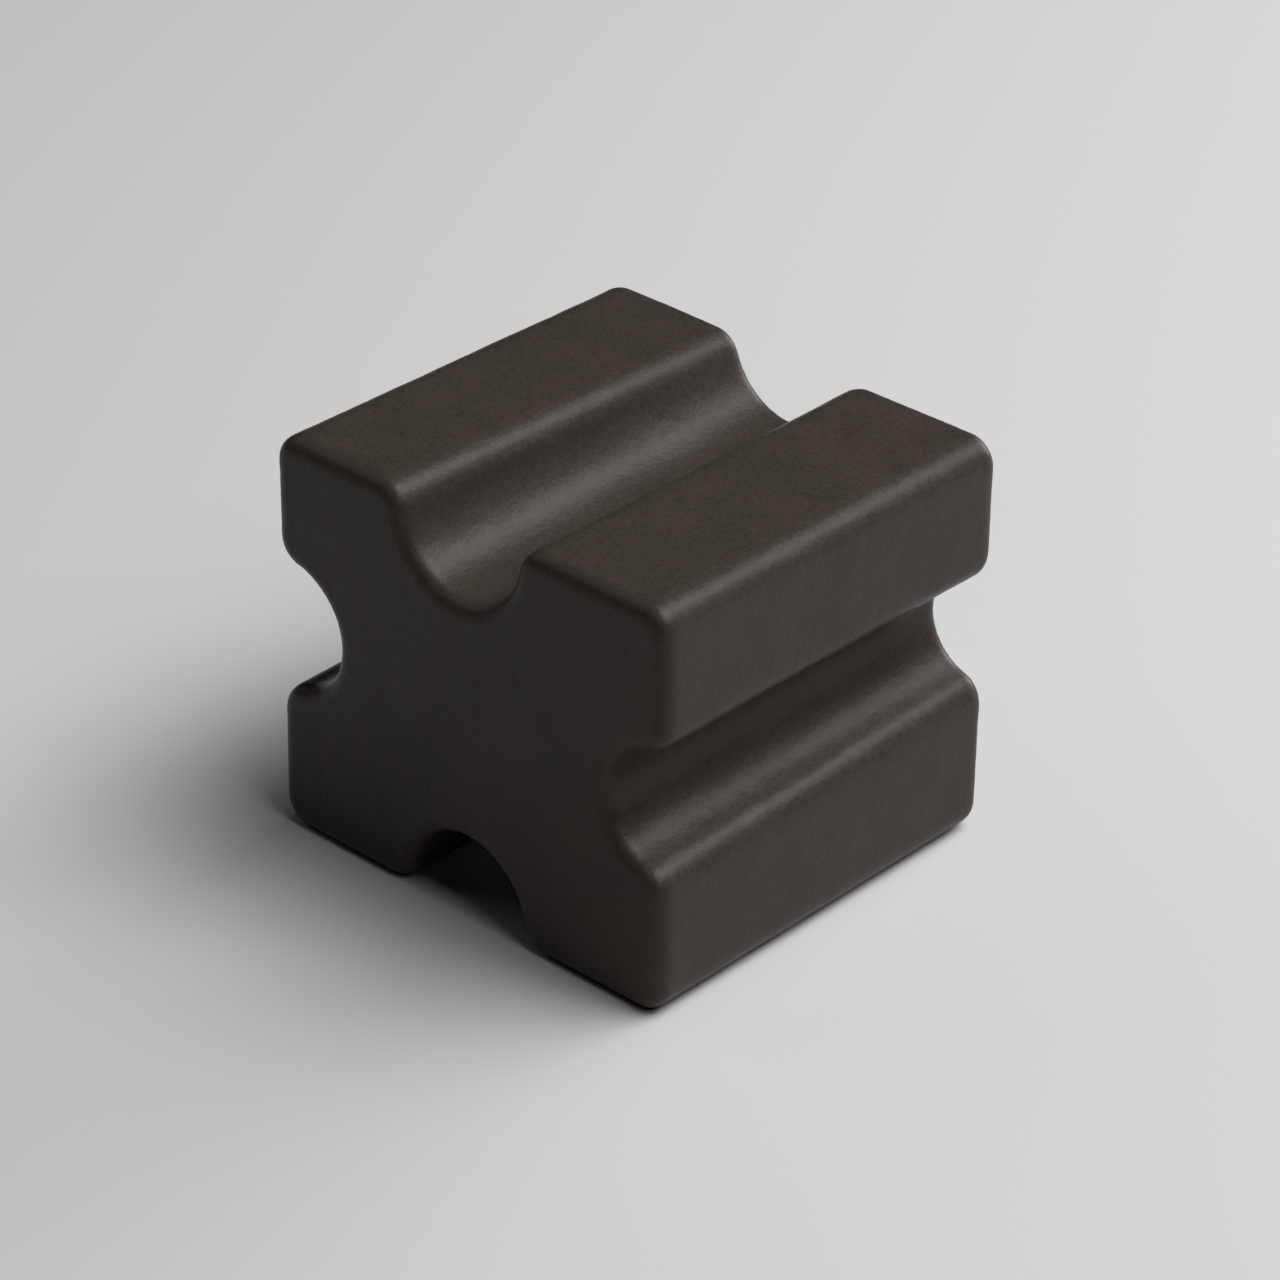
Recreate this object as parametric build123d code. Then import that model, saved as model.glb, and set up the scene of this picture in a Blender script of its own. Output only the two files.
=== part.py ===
from build123d import *
import os

# A pressed charcoal briquette: one solid block with a groove down each long side,
# so that its section is a rounded X. The grooves are a little shallower at the back
# end than at the front end, like the draft that a mould leaves.
# Millimetres. +X is across the block, +Y runs along the grooves from the front end
# to the back end, and +Z is up.
# The origin is the middle of the footprint, on the plane that the block rests on.

# Driving dimensions
WIDTH = 25.0         # across the section, X
LENGTH = 23.2        # along the grooves, Y
HEIGHT = 21.5        # Z
EDGE_RADIUS = 1.5    # the four long outer edges
MOUTH_RADIUS = 1.58  # where a groove opens into its face
END_RADIUS = 0.75    # the rim of each end face
END_LENGTH = 0.8     # how far in from each end face the section stays the same

# Each groove: the direction that its mouth faces in the section. Then, as a pair for
# the front end and the back end: the radius of its floor, its depth below the face,
# and how far it sits off the middle of that face.
TOP = {"facing": (0, 1), "radius": (3.65, 3.6), "depth": (4.4, 3.5), "shift": (-0.4, -0.2)}
RIGHT = {"facing": (1, 0), "radius": (3.2, 2.8), "depth": (3.6, 3.15), "shift": (0.13, 0.53)}
BOTTOM = {"facing": (0, -1), "radius": (3.6, 3.4), "depth": (4.3, 3.4), "shift": (0.0, 0.0)}
LEFT = {"facing": (-1, 0), "radius": (3.35, 2.9), "depth": (4.0, 3.5), "shift": (0.5, 0.5)}
FRONT = 0
BACK = 1


def groove_centre(groove, end):
    """The centre of a groove's round floor at one end, in the section's own plane."""
    across, up = groove["facing"]
    inset = groove["depth"][end] - groove["radius"][end]
    x = across * (WIDTH / 2 - inset) + abs(up) * groove["shift"][end]
    z = up * (HEIGHT / 2 - inset) + abs(across) * groove["shift"][end]
    return (x, z)


def cut_groove(section, groove, end):
    """Takes one round groove out of the section and rounds its two mouth corners."""
    centre = groove_centre(groove, end)
    section = section - Pos(*centre) * Circle(groove["radius"][end])
    mouth_corners = section.vertices().sort_by_distance(centre)[:2]
    return fillet(mouth_corners, MOUTH_RADIUS)


def make_section(end):
    """The rounded X at one end, centred on the section's own origin."""
    outline = Rectangle(WIDTH, HEIGHT)
    section = fillet(outline.vertices(), EDGE_RADIUS)
    for groove in (TOP, RIGHT, BOTTOM, LEFT):
        section = cut_groove(section, groove, end)
    return section


def make_end(section, inward):
    """The last stretch at one end, drawn in from the end face, with its rim rounded."""
    stretch = extrude(section, amount=inward * END_LENGTH)
    end_face = stretch.faces().sort_by(Axis.Y)[-1 if inward > 0 else 0]
    return fillet(end_face.edges(), END_RADIUS)


def make_briquette():
    """The two ends, and the stretch between them that runs from one section to the other."""
    front_section = make_section(FRONT)
    back_section = make_section(BACK)
    front_end = make_end(Plane.XZ.offset(LENGTH / 2) * front_section, -1)
    back_end = make_end(Plane.XZ.offset(-LENGTH / 2) * back_section, 1)
    inner = LENGTH / 2 - END_LENGTH
    middle = loft(
        [
            (Plane.XZ.offset(inner) * front_section).face(),
            (Plane.XZ.offset(-inner) * back_section).face(),
        ],
        ruled=True,
    )
    block = front_end + middle + back_end
    return Pos(0, 0, HEIGHT / 2) * block


os.makedirs("parts", exist_ok=True)
briquette = make_briquette()
export_step(briquette, "parts/briquette.step")
print("briquette", round(briquette.volume), "mm3", briquette.bounding_box().size)
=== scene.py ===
import math

import bmesh
import bpy
import numpy as np
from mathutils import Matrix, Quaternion, Vector, kdtree, noise


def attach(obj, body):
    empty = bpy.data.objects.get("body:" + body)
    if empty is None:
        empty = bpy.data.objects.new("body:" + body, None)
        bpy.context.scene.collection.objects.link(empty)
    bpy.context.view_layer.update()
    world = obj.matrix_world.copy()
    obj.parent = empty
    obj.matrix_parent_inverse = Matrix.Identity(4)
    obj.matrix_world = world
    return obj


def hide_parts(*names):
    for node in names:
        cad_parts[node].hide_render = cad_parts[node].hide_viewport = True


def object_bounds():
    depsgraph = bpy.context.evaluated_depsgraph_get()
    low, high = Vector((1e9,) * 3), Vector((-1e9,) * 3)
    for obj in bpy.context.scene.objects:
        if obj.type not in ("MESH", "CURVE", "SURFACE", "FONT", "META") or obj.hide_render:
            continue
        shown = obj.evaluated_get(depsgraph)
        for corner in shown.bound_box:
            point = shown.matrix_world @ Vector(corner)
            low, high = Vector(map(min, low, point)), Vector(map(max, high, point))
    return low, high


# A pressed charcoal briquette on a pale floor. Lengths are in metres and angles in degrees.
MM = 0.001
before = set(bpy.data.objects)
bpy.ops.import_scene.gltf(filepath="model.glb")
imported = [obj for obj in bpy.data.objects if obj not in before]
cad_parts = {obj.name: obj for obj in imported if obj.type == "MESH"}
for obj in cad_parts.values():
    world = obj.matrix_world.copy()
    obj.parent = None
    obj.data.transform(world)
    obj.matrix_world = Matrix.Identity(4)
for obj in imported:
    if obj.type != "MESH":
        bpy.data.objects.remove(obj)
CAD_LOW, CAD_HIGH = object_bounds()
CENTRE = (CAD_LOW + CAD_HIGH) / 2

# The camera: where it stands round the block, and what it aims at.
CAMERA_AZIMUTH = 42.33          # 0 looks along +Y
CAMERA_ELEVATION = 30.48
CAMERA_ROLL = 0.94
CAMERA_DISTANCE = 221.2 * MM
CAMERA_LENS = 129.83            # this and the sensor's width are in millimetres
CAMERA_SENSOR = 36
CAMERA_NEAREST = 10 * MM        # it draws nothing closer than this
AIM_RIGHT = 0.287 * MM          # the aim, off the block's centre
AIM_DOWN = 0.306 * MM

# The surface: a close, even mesh, then its unevenness, grain and pits.
WELD_DISTANCE = 0.0005 * MM
MESH_STEP = 0.20 * MM
SMOOTHING_ROUNDS = 14
SMOOTHING_STEPS = (0.5, -0.53)  # each round smooths, then swells back
SWELL_SIZE = 4.0 * MM
SWELL_HEIGHT = 0.030 * MM
SWELL_OCTAVES = (1.0, 2.0, 3)   # how fast they weaken, how much finer each is, how many
GRAIN_SIZE = 0.55 * MM
GRAIN_HEIGHT = 0.010 * MM
GRAIN_OCTAVES = (0.8, 2.1, 2)
PIT_COUNT = 60
PIT_RADIUS = (0.10 * MM, 0.20 * MM)
PIT_DEPTH = 0.22                # of its radius
SEED = 7

# The charcoal: warm dark greys in wide clouds, with a fine speckle in colour, gloss and bump.
DARK_GREY = (0.0318, 0.0257, 0.0214, 1)
LIGHT_GREY = (0.0497, 0.0397, 0.0332, 1)
NOISE_DETAIL = 3.0
CLOUD_SIZE = 3.5 * MM
CLOUD_HARSHNESS = 0.55
CLOUD_SHARE = 0.35
SPECKLE_SIZE = 0.22 * MM
SPECKLE_HARSHNESS = 0.6
SPECKLE_SHARE = 0.65
NOISE_RANGE = (0.3, 0.7)        # grey and roughness run from end to end between these values
ROUGHNESS_RANGE = (0.32, 0.42)
BUMP_HEIGHT = 0.020 * MM
CHARCOAL_IOR = 1.26

# The studio: a square floor, and soft square lights that all face the block.
FLOOR_REACH = 0.24              # from the middle to each side
FLOOR_COLOUR = (0.55, 0.55, 0.55, 1)
FLOOR_ROUGHNESS = 0.9
WHITE = (1, 1, 1, 1)
LIGHT_DISTANCE = 0.40
LIGHTS = {                      # azimuth, elevation, width and watts
    "key": (126, 65, 0.25, 1.24),
    "side": (94, 56, 0.25, 0.45),
    "back": (146, 51, 0.20, 0.41),
    "back_low": (174, 17, 0.20, 0.75),
    "left_fill": (-72, 35, 0.25, 0.08),
}


def direction(azimuth, elevation):
    """The unit vector from the block towards something seen at these angles."""
    a, e = math.radians(azimuth), math.radians(elevation)
    return Vector((math.sin(a) * math.cos(e), -math.cos(a) * math.cos(e), math.sin(e)))


# ---------------------------------------------------------------- the block

def remeshed_copy(node, name):
    """A closed copy of a CAD node as small, even quads."""
    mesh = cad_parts[node].data.copy()
    welded = bmesh.new()
    welded.from_mesh(mesh)
    bmesh.ops.remove_doubles(welded, verts=welded.verts, dist=WELD_DISTANCE)
    welded.to_mesh(mesh)
    welded.free()
    piece = bpy.data.objects.new(name, mesh)
    bpy.context.scene.collection.objects.link(piece)
    remesh = piece.modifiers.new("even_quads", "REMESH")
    remesh.mode = "VOXEL"
    remesh.voxel_size = MESH_STEP
    remesh.adaptivity = 0
    evaluated = piece.evaluated_get(bpy.context.evaluated_depsgraph_get())
    piece.data = bpy.data.meshes.new_from_object(evaluated)
    piece.data.name = name
    piece.data.materials.clear()
    piece.modifiers.clear()
    return piece


def vertex_rows(mesh, field):
    """The vertices' points ("co") or their normals ("normal"), one row for each vertex."""
    values = np.empty(len(mesh.vertices) * 3, np.float32)
    mesh.vertices.foreach_get(field, values)
    return values.reshape(-1, 3).astype(float)


def set_points(mesh, points):
    mesh.vertices.foreach_set("co", points.astype(np.float32).ravel())
    mesh.update()


def smooth_without_shrinking(mesh):
    """Taubin smoothing: takes out the CAD facets and the remesh's steps, and keeps the size."""
    edges = np.empty(len(mesh.edges) * 2, np.int32)
    mesh.edges.foreach_get("vertices", edges)
    a, b = edges.reshape(-1, 2).T
    points = vertex_rows(mesh, "co")
    neighbours = np.bincount(np.concatenate((a, b)), minlength=len(points))[:, None]
    for _ in range(SMOOTHING_ROUNDS):
        for step in SMOOTHING_STEPS:
            total = np.zeros_like(points)
            np.add.at(total, a, points[b])
            np.add.at(total, b, points[a])
            points = points + step * (total / neighbours - points)
    set_points(mesh, points)


def relief(points):
    """Height of the unevenness and the grain at each point."""
    heights = np.empty(len(points))
    for i, p in enumerate(points):
        p = Vector(p)
        swell = noise.fractal(p / SWELL_SIZE, *SWELL_OCTAVES)
        grain = noise.fractal(p / GRAIN_SIZE, *GRAIN_OCTAVES)
        heights[i] = swell * SWELL_HEIGHT + grain * GRAIN_HEIGHT
    return heights


def pit_depths(points, random):
    """How far each point sinks into the small pits scattered over the surface."""
    tree = kdtree.KDTree(len(points))
    for i, p in enumerate(points):
        tree.insert(p, i)
    tree.balance()
    depths = np.zeros(len(points))
    for centre in random.choice(len(points), PIT_COUNT, replace=False):
        radius = random.uniform(*PIT_RADIUS)
        for _, i, distance in tree.find_range(points[centre], radius):
            bowl = radius * PIT_DEPTH * (1 - (distance / radius) ** 2) ** 2
            depths[i] = max(depths[i], bowl)
    return depths


def make_block():
    block = remeshed_copy("briquette", "charcoal_block")
    mesh = block.data
    smooth_without_shrinking(mesh)
    random = np.random.default_rng(SEED)
    points, normals = vertex_rows(mesh, "co"), vertex_rows(mesh, "normal")
    height = relief(points) - pit_depths(points, random)
    points = points + normals * height[:, None]
    points[:, 2] = np.maximum(points[:, 2], CAD_LOW.z)      # nothing sinks into the floor
    set_points(mesh, points)
    mesh.shade_smooth()
    return block


# ---------------------------------------------------------------- materials

class Nodes:
    """A short way to write a material's node tree."""

    def __init__(self, name):
        self.material = bpy.data.materials.new(name)
        self.material.use_nodes = True
        self.tree = self.material.node_tree
        self.shader = self.tree.nodes["Principled BSDF"]

    def add(self, kind, **settings):
        """A node with its attributes and inputs set; an input's spaces are written as _."""
        node = self.tree.nodes.new(kind)
        for key, value in settings.items():
            if hasattr(node, key):
                setattr(node, key, value)
            else:
                node.inputs[key.replace("_", " ")].default_value = value
        return node

    def link(self, output, target):
        self.tree.links.new(output, target)

    def pattern(self, size, harshness):
        """Noise of this size, fixed to the object."""
        where = self.add("ShaderNodeTexCoord").outputs["Object"]
        node = self.add("ShaderNodeTexNoise", Scale=1 / size, Detail=NOISE_DETAIL,
                        Roughness=harshness)
        self.link(where, node.inputs["Vector"])
        return node.outputs["Fac"]


def charcoal_material():
    n = Nodes("pressed_charcoal")
    cloud = n.pattern(CLOUD_SIZE, CLOUD_HARSHNESS)
    speckle = n.pattern(SPECKLE_SIZE, SPECKLE_HARSHNESS)

    cloud_part = n.add("ShaderNodeMath", operation="MULTIPLY")
    n.link(cloud, cloud_part.inputs[0])
    cloud_part.inputs[1].default_value = CLOUD_SHARE
    both = n.add("ShaderNodeMath", operation="MULTIPLY_ADD")
    n.link(speckle, both.inputs[0])
    both.inputs[1].default_value = SPECKLE_SHARE
    n.link(cloud_part.outputs[0], both.inputs[2])
    colour = n.add("ShaderNodeValToRGB")
    ends = zip(colour.color_ramp.elements, NOISE_RANGE, (DARK_GREY, LIGHT_GREY))
    for element, position, grey in ends:
        element.position = position
        element.color = grey
    n.link(both.outputs[0], colour.inputs["Fac"])
    n.link(colour.outputs["Color"], n.shader.inputs["Base Color"])

    gloss = n.add("ShaderNodeMapRange",
                  From_Min=NOISE_RANGE[0], From_Max=NOISE_RANGE[1],
                  To_Min=ROUGHNESS_RANGE[0], To_Max=ROUGHNESS_RANGE[1])
    n.link(speckle, gloss.inputs["Value"])
    n.link(gloss.outputs["Result"], n.shader.inputs["Roughness"])

    bump = n.add("ShaderNodeBump", Strength=1.0, Distance=BUMP_HEIGHT)
    n.link(speckle, bump.inputs["Height"])
    n.link(bump.outputs["Normal"], n.shader.inputs["Normal"])
    n.shader.inputs["IOR"].default_value = CHARCOAL_IOR
    return n.material


def floor_material():
    n = Nodes("pale_floor")
    n.shader.inputs["Base Color"].default_value = FLOOR_COLOUR
    n.shader.inputs["Roughness"].default_value = FLOOR_ROUGHNESS
    n.shader.inputs["Specular IOR Level"].default_value = 0.0       # no gloss
    return n.material


# ---------------------------------------------------------------- the studio

def make_floor():
    mesh = bpy.data.meshes.new("floor")
    corners = [(-FLOOR_REACH, -FLOOR_REACH), (FLOOR_REACH, -FLOOR_REACH),
               (FLOOR_REACH, FLOOR_REACH), (-FLOOR_REACH, FLOOR_REACH)]
    mesh.from_pydata([(x, y, CAD_LOW.z) for x, y in corners], [], [(0, 1, 2, 3)])
    mesh.materials.append(floor_material())
    floor = bpy.data.objects.new("floor", mesh)
    bpy.context.scene.collection.objects.link(floor)


def make_lights():
    """High lights on the right and behind, a low one behind, and a weak fill on the left."""
    for name, (azimuth, elevation, width, watts) in LIGHTS.items():
        data = bpy.data.lights.new(name, "AREA")
        data.shape = "SQUARE"
        data.size = width
        data.energy = watts
        light = bpy.data.objects.new(name, data)
        towards = direction(azimuth, elevation)
        light.location = CENTRE + towards * LIGHT_DISTANCE
        light.rotation_mode = "QUATERNION"
        light.rotation_quaternion = towards.to_track_quat("Z", "Y")
        light.visible_camera = False
        bpy.context.scene.collection.objects.link(light)


def make_world():
    """A white background that only the camera sees, and that lights nothing."""
    world = bpy.data.worlds.new("white_room")
    bpy.context.scene.world = world
    world.use_nodes = True
    world.node_tree.nodes["Background"].inputs["Color"].default_value = WHITE
    world.cycles_visibility.diffuse = False
    world.cycles_visibility.glossy = False


def make_camera():
    data = bpy.data.cameras.new("camera")
    data.lens = CAMERA_LENS
    data.sensor_width = CAMERA_SENSOR
    data.clip_start = CAMERA_NEAREST
    camera = bpy.data.objects.new("camera", data)
    back = direction(CAMERA_AZIMUTH, CAMERA_ELEVATION)
    turn = back.to_track_quat("Z", "Y") @ Quaternion((0, 0, 1), math.radians(CAMERA_ROLL))
    right, up = turn @ Vector((1, 0, 0)), turn @ Vector((0, 1, 0))
    camera.rotation_mode = "QUATERNION"
    camera.rotation_quaternion = turn
    camera.location = CENTRE + right * AIM_RIGHT - up * AIM_DOWN + back * CAMERA_DISTANCE
    bpy.context.scene.collection.objects.link(camera)
    bpy.context.scene.camera = camera


block = make_block()
block.data.materials.append(charcoal_material())
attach(block, "root")
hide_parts("briquette")

make_floor()
make_world()
make_lights()
make_camera()
bpy.context.scene.view_settings.view_transform = "Standard"
